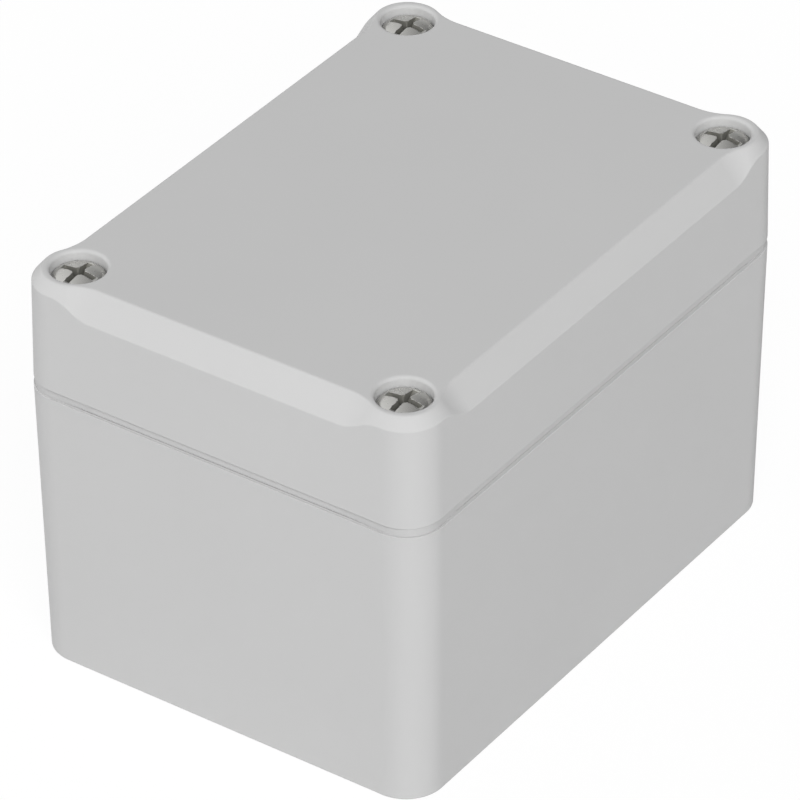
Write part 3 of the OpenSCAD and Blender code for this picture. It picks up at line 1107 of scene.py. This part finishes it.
def surroundings(fill_light, dark_side, darkest, fade):
    """White to the camera, even for the fill light, and darker on one side where only metal mirrors it."""
    world = bpy.data.worlds.new("studio")
    bpy.context.scene.world = world
    world.use_nodes = True
    tree = world.node_tree
    add = adder(tree)
    place = add("ShaderNodeTexCoord")["Generated"]
    sideways = add("ShaderNodeVectorMath", {0: place, 1: dark_side}, operation="DOT_PRODUCT")["Value"]
    shade = add("ShaderNodeMapRange", {"Value": sideways, "From Min": -fade, "From Max": fade,
                                       "To Max": 1 - darkest})["Result"]
    mirrored = add("ShaderNodeLightPath")["Is Glossy Ray"]
    lost = add("ShaderNodeMath", {0: shade, 1: mirrored}, operation="MULTIPLY")["Value"]
    white = add("ShaderNodeMath", {0: 1.0, 1: lost}, operation="SUBTRACT")["Value"]
    strength = add("ShaderNodeMapRange", {"Value": seen_directly(add), "To Min": fill_light,
                                          "To Max": white})["Result"]
    fill_inputs(tree, tree.nodes["Background"], {"Color": (1, 1, 1, 1), "Strength": strength})
    return world


studio = surroundings(fill_light=0.348, dark_side=level, darkest=0.1, fade=0.4)
bpy.context.scene.view_settings.view_transform = "Standard"
print("surrounded by", studio.name)

# %% [markdown]
# ## Floor
#
# The floor is white to the camera and in reflections, and a plain pale floor to the light itself, so it
# brightens the object no more than a sheet of card would. A small share of it stays paper, which keeps the
# object's shadow. From below, the floor lets the view and the light through, so the underside can be looked
# at too. The gap under the object is far too small to see, and rays that start inside it pass as well.

# %% Floor
def looked_through(add, near):
    """1 for a ray from below, or one that starts nearer to the floor than that, and else 0."""
    below = add("ShaderNodeNewGeometry")["Backfacing"]
    length = add("ShaderNodeLightPath")["Ray Length"]
    close = add("ShaderNodeMath", {0: length, 1: near}, operation="LESS_THAN")["Value"]
    return add("ShaderNodeMath", {0: below, 1: close}, operation="MAXIMUM")["Value"]


def pale_floor(card_tone, glow_share, near):
    material = bpy.data.materials.new("pale_floor")
    material.use_nodes = True
    tree = material.node_tree
    tree.nodes.clear()
    add = adder(tree)
    seen = seen_directly(add)
    tone = add("ShaderNodeMapRange", {"Value": seen, "To Min": card_tone})["Result"]
    paper = add("ShaderNodeBsdfDiffuse", {"Color": tone})["BSDF"]
    glow = add("ShaderNodeEmission", {"Strength": 1})["Emission"]
    share = add("ShaderNodeMath", {0: seen, 1: glow_share}, operation="MULTIPLY")["Value"]
    lit = add("ShaderNodeMixShader", {"Fac": share, 1: paper, 2: glow})["Shader"]
    clear = add("ShaderNodeBsdfTransparent")["BSDF"]
    surface = add("ShaderNodeMixShader", {"Fac": looked_through(add, near), 1: lit, 2: clear})["Shader"]
    add("ShaderNodeOutputMaterial", {"Surface": surface})
    return material


def studio_floor(half_size, gap, material):
    bm = bmesh.new()
    bmesh.ops.create_grid(bm, x_segments=1, y_segments=1, size=half_size)
    mesh = bpy.data.meshes.new("floor")
    bm.to_mesh(mesh)
    bm.free()
    mesh.materials.append(material)
    obj = in_scene("floor", mesh)
    obj.location.z = cad_low.z - gap
    return obj


floor = studio_floor(half_size=3.0, gap=0.02 * mm,
                     material=pale_floor(card_tone=0.65, glow_share=0.93, near=0.2 * mm))
print(f"the floor is {floor.dimensions.x:.0f} m wide")
